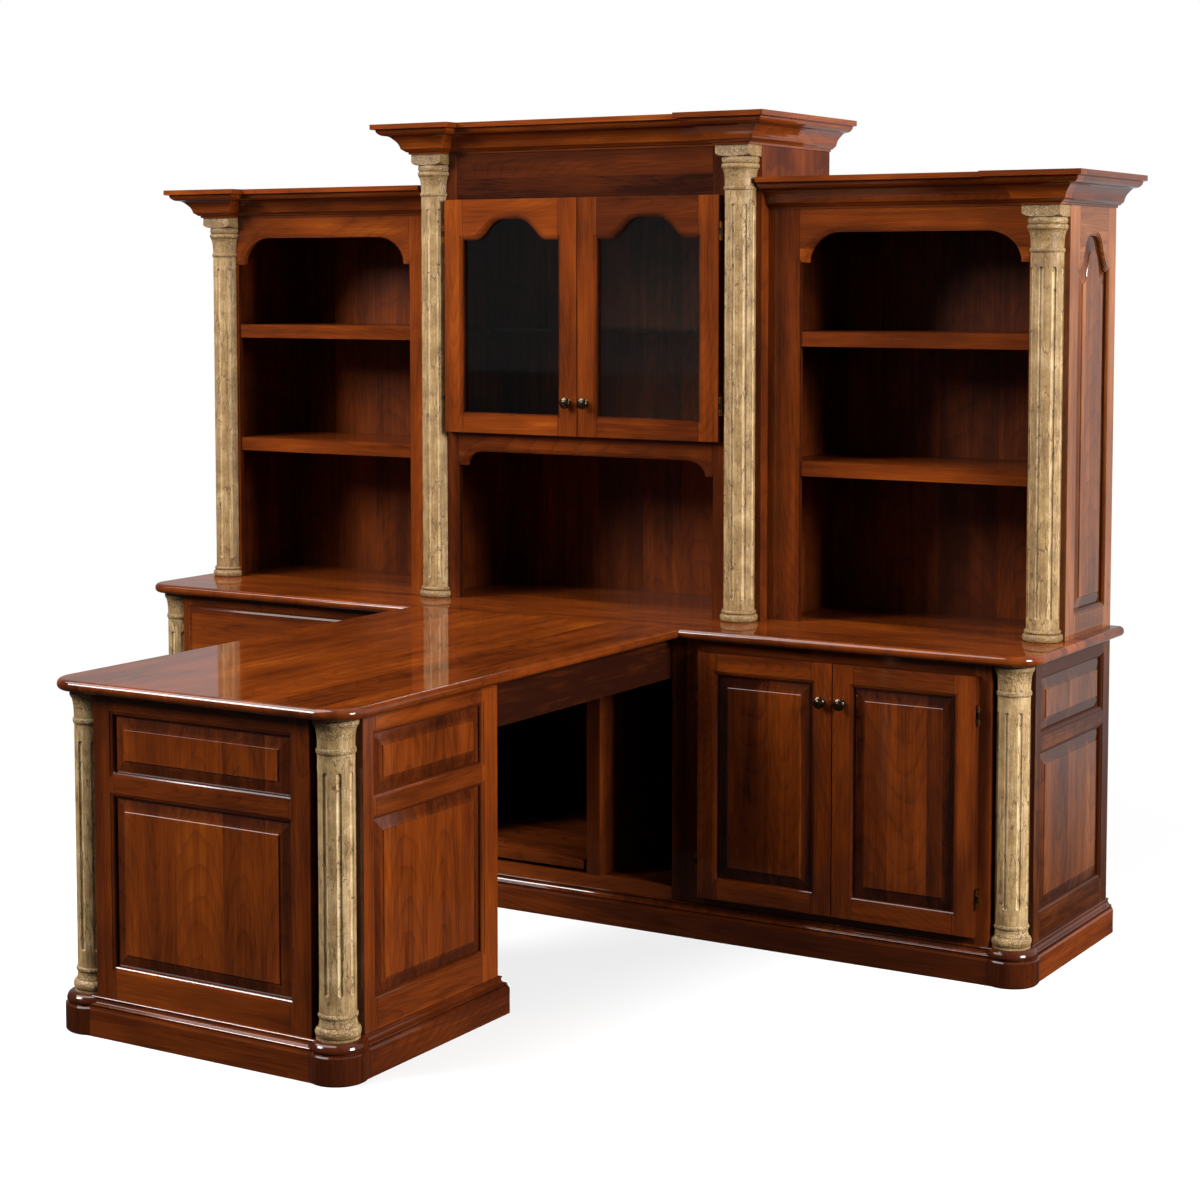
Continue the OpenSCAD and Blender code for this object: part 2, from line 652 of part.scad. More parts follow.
// Door leaf of the cabinet, hinged on its far side, from the meeting line to the far edge
door_open = [meet_x + pair_gap / 2 + stile_w, front_z0 + stile_w, front_out - stile_w, front_top - stile_w];
module cabinet_door_frame() translate([0, front_y, 0])
  panelled_board(meet_x + pair_gap / 2, front_z0, front_out, front_top, [door_open]);
module cabinet_door_panel() translate([0, front_y, 0]) raised_panel(door_open);
module cabinet_door_hardware() {
  knob(meet_x + pair_gap / 2 + knob_in, front_y, knob_z);
  for (z = hinge_heights(front_z0, front_top)) moving_hinge(hinge_x, hinge_y, z);
}
// Swaps the two doors of the cabinet
module other_door() translate([2 * meet_x, 0, 0]) mirror([1, 0, 0]) children();

glass_x0 = pair_gap / 2 + glass_stile;
glass_x1 = glass_out - glass_stile;
glass_sill = glass_z0 + stile_w;
rebate_y = frame_t - pane_t - 3;
function glass_outline(g) = ogee(glass_x0, glass_x1, glass_sill, glass_spring, glass_peak, glass_ledge, g);
module glass_door_frame() translate([0, mid_front, 0]) difference() {
  block([pair_gap / 2, 0, glass_z0], [glass_out, frame_t, glass_z1]);
  plate(-past, frame_t + past, glass_outline(0));
  for (m = mould_steps()) plate(-past, m[1], glass_outline(m[0]));
  block([glass_x0 - groove_d, rebate_y, glass_sill - groove_d],
    [glass_x1 + groove_d, frame_t + past, glass_peak + groove_d]);
}
module glass_pane() translate([0, mid_front, 0]) {
  g = groove_d - panel_play;
  block([glass_x0 - g, rebate_y, glass_sill - g], [glass_x1 + g, rebate_y + pane_t, glass_peak + g]);
}
module glass_door_hardware() {
  knob(pair_gap / 2 + knob_in, mid_front, glass_knob_z);
  for (z = hinge_heights(glass_z0, glass_z1)) moving_hinge(glass_hinge_x, glass_hinge_y, z);
}

// Panels of the pedestal and of the ends of the credenza
ped_x = half_p - notch - end_stile;
front_panels = [[-ped_x, tall_z0, ped_x, tall_z1], [-ped_x, low_z0, ped_x, low_z1]];
side_y0 = ped_front + notch + end_stile - 10;
side_y1 = ped_back - end_stile - 7;
side_panels = [[side_y0, tall_z0, side_y1, tall_z1], [side_y0, low_z0, side_y1, low_z1]];
end_y0 = notch + end_stile - 10;
end_y1 = credenza_d - end_stile;
end_panels = [[end_y0, tall_z0, end_y1, tall_z1], [end_y0, low_z0, end_y1, low_z1]];

// Bay of the hutch between two side boards, with back, top and open front
module bay_boards(x0, x1, y0, top) {
  block([x0, back_y, top_z], [x1, credenza_d, top]);
  block([x0, y0, top - board_t], [x1, back_y, top]);
}

// Corner that the boards of a bay leave to its column, or to the crown over it
module column_corner(x, y, reach, z0, z1)
  block([x - hcol_in, y, z0], [x + past, y + reach, z1]);

shaft_reach = hcol_back + shaft_r + past;

module side_bay_case() {
  difference() {
    bay_boards(mid_x, half_w - frame_t, side_y + frame_t, side_top);
    column_corner(half_w, side_y, end_back, side_base, side_top + past);
  }
  block([mid_x, side_y + frame_t, top_z], [mid_x + frame_t, back_y, side_top - board_t]);
  block([half_w - 2 * frame_t, side_y + hcol_back + capital_r + 1, top_z],
    [half_w - frame_t, back_y, side_top - board_t]);
}
module side_bay_shelf(z) {
  difference() {
    block([mid_x + frame_t + fit, side_y + frame_t + fit, z - board_t],
      [half_w - 2 * frame_t - fit, back_y, z]);
    column_corner(half_w, side_y, shaft_reach, z - board_t - past, z + past);
  }
  block([bay_x0 + fit, side_y + shelf_in, z - shelf_edge],
    [bay_x1 - fit, side_y + frame_t + 2 * shelf_in, z]);
}
// Part of a crown that breaks forward over the column of a bay
module column_block(x, y, top)
  wrap(x - 2 * hcol_in + past, x, y - crown_break, credenza_d, crown_section(top), [1, 1, 0]);

module side_bay_crown() difference() {
  union() {
    wrap(mid_x + fit, half_w, side_y, credenza_d, crown_section(side_top), [0, 1, 0]);
    column_block(half_w, side_y, side_top);
  }
  bay_room(half_w, side_y, side_base, side_top);
}

// Room for the frames and case of a bay inside its crown, short of the corner over the column
module bay_room(x, y, z0, z1) {
  block([0, y, z0 - past], [x - hcol_in, credenza_d + past, z1 + past]);
  block([0, y + end_back, z0 - past], [x, credenza_d + past, z1 + past]);
}

module desk_top() color(wood) place()
  nosed_top(half_p + top_over, ped_front - top_over, join_y, col_in + top_over);

module credenza_top() color(wood) place() difference() {
  nosed_top(half_w + top_over, -top_over, credenza_d, col_in + top_over);
  block([-half_p - top_over, -top_over - past, body_z - past],
    [half_p + top_over, join_y, top_z + past]);
}

module right_cabinet_case() color(wood) place() {
  cabinet_box();
  for (x = [[half_c + board_t, half_c + 2 * board_t], [notch_x - 2 * board_t, notch_x - board_t]])
    block([x[0], cabinet_shelf_in, shelf_low - board_t], [x[1], back_y, shelf_low]);
}
shelf_low = (floor_z + front_top) / 2 - board_t;

module left_cabinet_case() color(wood) place() left() cabinet_box();

module centre_case() color(wood) place() difference() {
  block([-half_c, frame_t, 0], [half_c, credenza_d, body_z]);
  block([-half_c + board_t, frame_t - past, floor_z], [half_c - board_t, back_y, body_z - board_t]);
  block([-half_c + board_t, frame_t - past, -past], [half_c - board_t, back_y, floor_z - board_t]);
}

module right_face_frame() color(wood) place()
  cabinet_face([[floor_z, front_top - lap]]);

module left_face_frame() color(wood) place() left()
  cabinet_face([[floor_z, door_split - lap], [door_split + lap, front_top - lap]]);

module centre_face_frame() color(wood) place() difference() {
  block([-half_c, 0, 0], [half_c, frame_t, body_z]);
  block([-knee_w / 2, -past, floor_z], [divider_x, frame_t + past, front_top - lap]);
  block([divider_x + divider_w, -past, floor_z], [knee_w / 2, frame_t + past, front_top - lap]);
}

module centre_divider() color(wood) place()
  block([divider_x, frame_t, floor_z], [divider_x + divider_w, back_y, body_z - board_t]);

module credenza_end_frames() color(wood) place() both() facing_right(half_w)
  panelled_board(notch, 0, credenza_d, body_z, end_panels);

module credenza_end_panels() color(wood) place() both() facing_right(half_w)
  for (o = end_panels) raised_panel(o);

module credenza_plinth() color(wood) place() difference() {
  wrap(-half_w, half_w, 0, credenza_d, plinth_section, [1, 1, 0]);
  block([-half_w, 0, -past], [half_w, credenza_d + past, plinth_h + past]);
  both() at_credenza_corner() foot_room();
}

module pedestal_plinth() color(wood) place() difference() {
  wrap(-half_p, half_p, ped_front, ped_back, plinth_section, [1, 1, 1]);
  block([-half_p, ped_front, -past], [half_p, ped_back, plinth_h + past]);
  both() at_pedestal_corner() foot_room();
}

module base_caps() color(wood) place() {
  difference() {
    wrap(-half_w, half_w, 0, credenza_d, cap_section, [1, 1, 0]);
    block([-half_w, 0, 0], [half_w, credenza_d + past, cap_z + past]);
    both() at_credenza_corner() foot_room();
  }
  difference() {
    wrap(-half_p, half_p, ped_front, ped_back, cap_section, [1, 1, 1]);
    block([-half_p, ped_front, 0], [half_p, ped_back, cap_z + past]);
    both() at_pedestal_corner() foot_room();
  }
}

module base_feet() color(dark_wood) place() both() {
  at_credenza_corner() difference() {
    foot_body();
    notch_walls(0);
  }
  at_pedestal_corner() difference() {
    foot_body();
    notch_walls(0);
  }
}

module base_columns() color(cream) place() both() {
  at_credenza_corner() base_column();
  at_pedestal_corner() base_column();
}

module pedestal_case() color(wood) place() {
  x = half_p - frame_t;
  y0 = ped_front + frame_t;
  y1 = ped_back - frame_t;
  difference() {
    block([-x, y0, 0], [x, y1, body_z]);
    block([-x + board_t, ped_front + notch + board_t, -past], [x - board_t, y1 - board_t, body_z - board_t]);
    block([-half_p + notch + board_t, y0 + board_t, -past],
      [half_p - notch - board_t, y1 - board_t, body_z - board_t]);
    both() block([half_p - notch, y0 - past, -past], [half_p, ped_front + notch, body_z + past]);
  }
}

module pedestal_front_frame() color(wood) place() translate([0, ped_front, 0])
  panelled_board(-half_p + notch, 0, half_p - notch, body_z, front_panels);

module pedestal_side_frames() color(wood) place() both() facing_right(half_p)
  panelled_board(ped_front + notch, 0, ped_back, body_z, side_panels);

module pedestal_panels() color(wood) place() {
  translate([0, ped_front, 0]) for (o = front_panels) raised_panel(o);
  both() facing_right(half_p) for (o = side_panels) raised_panel(o);
}

module pedestal_back() color(wood) place() facing_back(ped_back) {
  x = half_p - frame_t;
  panelled_board(-x, 0, x, body_z, [[-x + end_stile, tall_z0, x - end_stile, low_z1]]);
  raised_panel([-x + end_stile, tall_z0, x - end_stile, low_z1]);
}

module desk_aprons() color(wood) place() both()
  block([half_p - apron_in - apron_t, ped_back, body_z - apron_h], [half_p - apron_in, 0, body_z]);

module drawer_runners() color(wood) place() left() {
  drawer_runner_pair(lower_box_z + box_h / 2 - runner_h / 2);
  drawer_runner_pair(upper_box_z + box_h / 2 - runner_h / 2);
}

module cabinet_door_hinges() color(bronze) place()
  for (z = hinge_heights(front_z0, front_top)) {
    fixed_hinge(hinge_x, hinge_y, z);
    fixed_hinge(2 * meet_x - hinge_x, hinge_y, z);
  }

module cabinet_shelf() color(wood) place()
  block([half_c + board_t + past, cabinet_shelf_in, shelf_low],
    [notch_x - board_t - past, back_y, shelf_low + board_t]);

module tray_runners() color(bronze) place() {
  z = tray_z0 + tray_t / 4;
  block([-half_c + board_t, runner_y0, z], [tray_x0 + runner_in, tray_l + runner_more, z + tray_t / 2]);
  block([tray_x1 - runner_in, runner_y0, z], [divider_x, tray_l + runner_more, z + tray_t / 2]);
}

module pullout_tray() color(wood) place() difference() {
  z = tray_z0 + tray_t / 4 - run_gap;
  block([tray_x0, 0, tray_z0], [tray_x1, tray_l, tray_z0 + tray_t]);
  block([tray_x0 - past, 2 * side_t, z],
    [tray_x0 + runner_in + run_gap, tray_l + past, z + tray_t / 2 + 2 * run_gap]);
  block([tray_x1 - runner_in - run_gap, 2 * side_t, z],
    [tray_x1 + past, tray_l + past, z + tray_t / 2 + 2 * run_gap]);
}

module upper_drawer_box() color(wood) place() left() drawer_box(upper_box_z);
module lower_drawer_box() color(wood) place() left() drawer_box(lower_box_z);
module upper_drawer_front() color(wood) place() left() drawer_face(1);
module lower_drawer_front() color(wood) place() left() drawer_face(0);
module upper_drawer_knobs() color(bronze) place() left() drawer_knobs(1);
module lower_drawer_knobs() color(bronze) place() left() drawer_knobs(0);

module right_door_frame() color(wood) place() cabinet_door_frame();
module right_door_panel() color(wood) place() cabinet_door_panel();
module right_door_hardware() color(bronze) place() cabinet_door_hardware();
module left_door_frame() color(wood) place() other_door() cabinet_door_frame();
module left_door_panel() color(wood) place() other_door() cabinet_door_panel();
module left_door_hardware() color(bronze) place() other_door() cabinet_door_hardware();

module centre_hutch_case() color(wood) place() {
  x = mid_x - frame_t;
  difference() {
    union() {
      bay_boards(-x, x, mid_y + frame_t, mid_top);
      block([-x, mid_y + frame_t, glass_z0 - board_t], [x, back_y, glass_z0]);
    }
    both() column_corner(mid_x, mid_y, end_back, mid_base, mid_top + past);
    both() column_corner(mid_x, mid_y, shaft_reach, top_z, glass_z1);
  }
  both() block([x, mid_y + end_back, top_z], [mid_x, credenza_d, mid_top]);
  both() block([x - board_t, mid_y + 60, gshelf_z - gshelf_t - board_t], [x, back_y, gshelf_z - gshelf_t]);
}

module centre_hutch_face_frame() color(wood) place() translate([0, mid_y, 0]) difference() {
  x = mid_x - hcol_in;
  block([-x, 0, top_z], [x, frame_t, mid_top]);
  block([-mid_open, -past, glass_z0 + lap], [mid_open, frame_t + past, glass_z1 - lap]);
  for (m = concat([[0, frame_t + past]], mould_steps())) plate(-past, m[1],
    arch(-mid_open, mid_open, top_z - past, low_spring, low_arch, low_ledge, low_run, m[0]));
}

module centre_hutch_crown() color(wood) place() difference() {
  union() {
    wrap(-mid_x, mid_x, mid_y, credenza_d, crown_section(mid_top), [1, 1, 0]);
    both() column_block(mid_x, mid_y, mid_top);
  }
  both() bay_room(mid_x, mid_y, mid_base, mid_top);
}

module centre_hutch_columns() color(cream) place() both() seated_column(mid_x, mid_y, mid_base);
module side_hutch_columns() color(cream) place() both() seated_column(half_w, side_y, side_base);

module glass_shelf() color(clear) place() {
  x = mid_x - frame_t - past;
  block([-x, mid_y + 60, gshelf_z - gshelf_t], [x, back_y, gshelf_z]);
}

module glass_door_hinges() color(bronze) place() both()
  for (z = hinge_heights(glass_z0, glass_z1)) fixed_hinge(glass_hinge_x, glass_hinge_y, z);

module right_glass_door_frame() color(wood) place() glass_door_frame();
module right_glass_pane() color(clear) place() glass_pane();
module right_glass_door_hardware() color(bronze) place() glass_door_hardware();
module left_glass_door_frame() color(wood) place() left() glass_door_frame();
module left_glass_pane() color(clear) place() left() glass_pane();
module left_glass_door_hardware() color(bronze) place() left() glass_door_hardware();

module right_hutch_case() color(wood) place() side_bay_case();
module left_hutch_case() color(wood) place() left() side_bay_case();

module side_hutch_face_frames() color(wood) place() both() translate([0, side_y, 0]) difference() {
  block([mid_x, 0, top_z], [half_w - hcol_in, frame_t, side_top]);
  for (m = concat([[0, frame_t + past]], mould_steps())) plate(-past, m[1],
    arch(bay_x0, bay_x1, top_z - past, bay_spring, bay_arch, bay_ledge, bay_run, m[0]));
}

function end_outline(g, b = 0) = ogee(endp_y0 + b, endp_y1 - b, endp_z0 + b, endp_spring - b,
  endp_peak - 1.3 * b, endp_ledge, g);

module hutch_end_frames() color(wood) place() both() facing_right(half_w) difference() {
  block([side_y + end_back, 0, top_z], [credenza_d, frame_t, side_top]);
  plate(-past, frame_t + past, end_outline(0));
  for (m = mould_steps()) plate(-past, m[1], end_outline(m[0]));
  plate(tongue_y, frame_t + past, end_outline(groove_d));
}

module hutch_end_panels() color(wood) place() both() facing_right(half_w) {
  g = groove_d - panel_play;
  loft([[field_in, end_outline(0, bevel_w + field_ease)], [field_in + field_ease, end_outline(0, bevel_w)],
    [field_in + field_step, end_outline(0, bevel_w)],
    [tongue_y, end_outline(0)], [tongue_y + tongue_t, end_outline(0)]]);
  plate(tongue_y, tongue_y + tongue_t, end_outline(g));
}

module side_hutch_shelves() color(wood) place() both() for (z = shelf_z) side_bay_shelf(z);
module side_hutch_crowns() color(wood) place() both() side_bay_crown();

desk_top();
credenza_top();
left_cabinet_case();
centre_case();
right_cabinet_case();
left_face_frame();
centre_face_frame();
right_face_frame();
centre_divider();
credenza_end_frames();
credenza_end_panels();
credenza_plinth();
base_feet();
base_columns();
pedestal_case();
pedestal_front_frame();
pedestal_side_frames();
pedestal_panels();
pedestal_back();
pedestal_plinth();
base_caps();
desk_aprons();
drawer_runners();
cabinet_door_hinges();
cabinet_shelf();
tray_runners();
centre_hutch_case();
centre_hutch_face_frame();
centre_hutch_crown();
centre_hutch_columns();
glass_shelf();
glass_door_hinges();
left_hutch_case();
right_hutch_case();
side_hutch_face_frames();
hutch_end_frames();
hutch_end_panels();
side_hutch_shelves();
side_hutch_crowns();
side_hutch_columns();
left_door_frame();
left_door_panel();
left_door_hardware();
right_door_frame();
right_door_panel();
right_door_hardware();
pullout_tray();
upper_drawer_box();
upper_drawer_front();
upper_drawer_knobs();
lower_drawer_box();
lower_drawer_front();
lower_drawer_knobs();
left_glass_door_frame();
left_glass_pane();
left_glass_door_hardware();
right_glass_door_frame();
right_glass_pane();
right_glass_door_hardware();
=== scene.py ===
"""Looks of the partners desk: stained and lacquered cherry, crackle-painted columns, bronze and glass."""

import math

import bmesh
import bpy
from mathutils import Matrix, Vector


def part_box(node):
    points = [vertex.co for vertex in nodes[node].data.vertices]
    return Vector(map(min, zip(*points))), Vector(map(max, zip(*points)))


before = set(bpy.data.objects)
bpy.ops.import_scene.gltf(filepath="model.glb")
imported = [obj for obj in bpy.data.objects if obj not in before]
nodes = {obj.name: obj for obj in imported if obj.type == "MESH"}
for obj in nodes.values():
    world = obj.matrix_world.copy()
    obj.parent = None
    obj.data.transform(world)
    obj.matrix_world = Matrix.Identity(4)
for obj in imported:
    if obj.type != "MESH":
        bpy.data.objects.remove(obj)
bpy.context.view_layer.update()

# The camera stands off the right front corner at eye height and looks a little down. The rest of the
# way down to the desk is lens shift, so that the uprights stay almost parallel, as in the photograph.
CAMERA_PLACE = (3.3268, -4.8188, 1.6363)
CAMERA_YAW = math.radians(31.224)
CAMERA_PITCH = math.radians(-4.17)
LENS_MM = 73.065
LENS_SHIFT = -0.12

camera_data = bpy.data.cameras.new("camera")
camera_data.lens = LENS_MM
camera_data.shift_y = LENS_SHIFT
camera = bpy.data.objects.new("camera", camera_data)
camera.location = CAMERA_PLACE
camera.rotation_euler = (math.pi / 2 + CAMERA_PITCH, 0, CAMERA_YAW)
bpy.context.scene.collection.objects.link(camera)
bpy.context.scene.camera = camera

# The floor: board rolled with matt white paint, which leaves a speckle of a few millimetres. Round the
# desk it takes the shadows, and further out it turns into evenly lit white paper. To all rays but the
# camera's the floor is a glowing sheet instead, a painted reflection and painted light: dim in front of
# the desk, as if black flags stood beside the camera, and brighter further behind it.
FLOOR_SIDE = 60.0
FLOOR_SPECKLE = 0.004
FLOOR_PAPER = (1.2, 3.0)
FLOOR_GLOW = 0.45
FLAGS_END = (1.0, 3.5)
FLOOR_FLAGGED = 0.04
FLOOR_OPEN = 0.7
WHITE = (1.0, 1.0, 1.0, 1.0)


def linear(hex_colour):
    """Turns an sRGB colour such as #7b3a1c into the linear colour that a shader takes."""
    values = [int(hex_colour[i:i + 2], 16) / 255 for i in (1, 3, 5)]
    return [v / 12.92 if v <= 0.04045 else ((v + 0.055) / 1.055) ** 2.4 for v in values] + [1.0]


def add(tree, kind, inputs=(), stops=(), **settings):
    """Adds a shader node with its settings, its colour stops and its inputs.

    An input is a value, a socket, or a node whose first working output is linked. Inputs go by the
    sockets' names or numbers, or simply in order. A kind in capitals is a maths node's operation.
    """
    if kind.isupper():
        settings["operation"] = kind
        kind = "Math"
    node = tree.nodes.new("ShaderNode" + kind)
    for name, value in settings.items():
        setattr(node, name, value)
    if stops:
        ramp = node.color_ramp.elements
        for place, colour in stops[1:-1]:
            ramp.new(place)
        for stop, (place, colour) in zip(ramp, stops):
            stop.position = place
            stop.color = linear(colour)
    for name, value in inputs.items() if isinstance(inputs, dict) else enumerate(inputs):
        if isinstance(value, bpy.types.Node):
            value = next(output for output in value.outputs if output.enabled)
        if isinstance(value, bpy.types.NodeSocket):
            tree.links.new(value, node.inputs[name])
        else:
            node.inputs[name].default_value = value
    return node


def new_material(name):
    """A node material without nodes, as (material, tree)."""
    material = bpy.data.materials.new(name)
    material.use_nodes = True
    material.node_tree.nodes.clear()
    return material, material.node_tree


floor_mesh = bmesh.new()
bmesh.ops.create_grid(floor_mesh, x_segments=1, y_segments=1, size=FLOOR_SIDE / 2)
floor_data = bpy.data.meshes.new("floor")
floor_mesh.to_mesh(floor_data)
floor_mesh.free()
floor = bpy.data.objects.new("floor", floor_data)
bpy.context.scene.collection.objects.link(floor)

painted_board, tree = new_material("matt_painted_board")
coords = add(tree, "TexCoord").outputs["Object"]
speckle = add(tree, "TexNoise", {"Vector": coords, "Scale": 1 / FLOOR_SPECKLE})
shade = add(tree, "ValToRGB", [speckle], [(0.3, "#f4f4f4"), (0.7, "#fafafa")])
board = add(tree, "BsdfPrincipled", {"Base Color": shade, "Roughness": 0.9, "Specular IOR Level": 0.1})
lit = add(tree, "Emission", {"Color": WHITE, "Strength": 1.0})
away = add(tree, "VectorMath", [coords], operation="LENGTH")
paper = add(tree, "MapRange", {"Value": away, "From Min": FLOOR_PAPER[0], "From Max": FLOOR_PAPER[1],
                               "To Min": FLOOR_GLOW}, interpolation_type="SMOOTHSTEP")
both = add(tree, "MixShader", [paper, board, lit])
behind = add(tree, "SeparateXYZ", [coords]).outputs["Y"]
open_floor = add(tree, "MapRange", {"Value": behind, "From Min": FLAGS_END[0], "From Max": FLAGS_END[1],
                                    "To Min": FLOOR_FLAGGED, "To Max": FLOOR_OPEN})
# Painted reflection and light: the glow that all rays but the camera's see on the floor.
painted_floor_glow = add(tree, "Emission", {"Strength": open_floor})
seen = add(tree, "MixShader", [add(tree, "LightPath").outputs["Is Camera Ray"], painted_floor_glow, both])
add(tree, "OutputMaterial", {"Surface": seen})
floor_data.materials.append(painted_board)

# The light: three soft boxes, to the left, to the right and overhead, and a backdrop of white paper.
# The backdrop is bright behind the desk and dim behind the camera, so that the lacquer stays deep.
BACKDROP_BEHIND = 0.75
BACKDROP_FRONT = 0.09
BACKDROP_TOWARDS = (0.5, 1.0, 0.0)
BACKDROP_TURN = (-0.4, 1.0)
SOFT_BOXES = {
    "left_soft_box": ((-3.3, -3.9, 3.7), 1.8, 320.0),
    "right_soft_box": ((6.0, -0.6, 2.8), 1.8, 620.0),
    "top_soft_box": ((-1.8, -1.5, 4.4), 3.6, 260.0),
}
LIT_POINT = Vector((0.0, 0.0, 0.9))

world = bpy.data.worlds.new("studio")
world.use_nodes = True
world.node_tree.nodes.clear()
tree = world.node_tree
towards = add(tree, "VectorMath", [add(tree, "TexCoord").outputs["Generated"], BACKDROP_TOWARDS],
              operation="DOT_PRODUCT")
paper = add(tree, "MapRange", {"Value": towards, "From Min": BACKDROP_TURN[0], "From Max": BACKDROP_TURN[1],
                               "To Min": BACKDROP_FRONT, "To Max": BACKDROP_BEHIND})
seen = add(tree, "Mix", {0: add(tree, "LightPath").outputs["Is Camera Ray"], 2: paper, 3: 1.0},
           data_type="FLOAT")
sky = add(tree, "Background", {"Color": WHITE, "Strength": seen})
add(tree, "OutputWorld", {"Surface": sky})
bpy.context.scene.world = world
bpy.context.scene.view_settings.view_transform = "Standard"

for name, (place, side, watts) in SOFT_BOXES.items():
    light_data = bpy.data.lights.new(name, "AREA")
    light_data.shape = "SQUARE"
    light_data.size = side
    light_data.energy = watts
    light = bpy.data.objects.new(name, light_data)
    light.location = place
    light.rotation_euler = (LIT_POINT - light.location).to_track_quat("-Z", "Y").to_euler()
    bpy.context.scene.collection.objects.link(light)

# Cases of the credenza and the pedestal: cherry boards glued edge to edge, sanded, wiped with a
# red-brown stain and only sealed inside. Cherry takes stain unevenly, which gives each board a tone of
# its own, soft blotches and streaks, and dark arches where the saw cut through the yearly rings.
CHERRY = ("#230c05", "#4a1e09", "#71320d", "#a05313")
STAIN_STOPS = (0.0, 0.34, 0.64, 1.0)
STAIN_MIDDLE = 0.52
# Width and length in metres, detail, roughness and distortion of what the stain brings out. Cherry's
# pores are about 0.1 mm wide, too fine to show, so lines of pores are drawn 2.4 mm wide. The row for
# rings serves pieces cut from a single board.
FIGURE = {
    "blotch": (0.13, 0.416, 4.0, 0.6, 0.0),
    "streak": (0.022, 0.484, 4.0, 0.62, 0.4),
    "pores": (0.0024, 0.108, 2.0, 0.5, 0.0),
    "rings": (0.3, 2.4, 1.0, 0.5, 0.0),
}
FIGURE_SHARE = {"blotch": 0.9, "streak": 0.5, "pores": 0.36}
LOT_SHARE = {"boards": 0.2, "one_board": 0.3}
# Yearly rings: their pitch, their rise along the board, how much they waver, how sharp and how dark
# the late wood is, how far it is broken by streaks, and where the heart of the tree comes nearest,
# as a share of the board's width and in metres along it.
RING_PITCH = 0.008
RING_SLOPE = 0.11
RING_WAVER = 0.024
RING_SHARP = 5.0
RING_DARK = 0.1
RING_BREAK = 0.5
HEART_ACROSS = 0.45
HEART_ALONG = 2.2
# Boards differ in width, by this share and this often in a metre. Each board, each rail and each of a
# pair is cut from another place in the wood: the lots number them, and noise in steps of metres
# picks the place. Rails further apart than this are different rails.
WIDTH_VARIES = 0.8
WIDTH_CHANGES = 2.3
RAIL_LOT = 7.0
PAIR_LOT = 3.0
HEIGHT_LOT = 11.0
LOT_APART = 4.0
RAIL_APART = 0.19
# A joint shows as a dark hairline. Below the outer faces the wood is painted darker, as stain kept in
# the recesses and as painted shade there, from nothing at the first depth to all of it at the second.
JOINT_LINE = 0.0006
JOINT_DARK = 0.35
SUNK_DEPTHS = (0.0006, 0.0045)
KEPT_STAIN_AND_SHADE = 0.24
SEALED_ROUGHNESS = (0.45, 0.6)
PORE_RELIEF = 0.12
PORE_DEPTH = 0.0004
LACQUER_IOR = 1.5
ALONG = {"x": "yzx", "away": "yzx", "y": "xzy", "z": "xyz"}


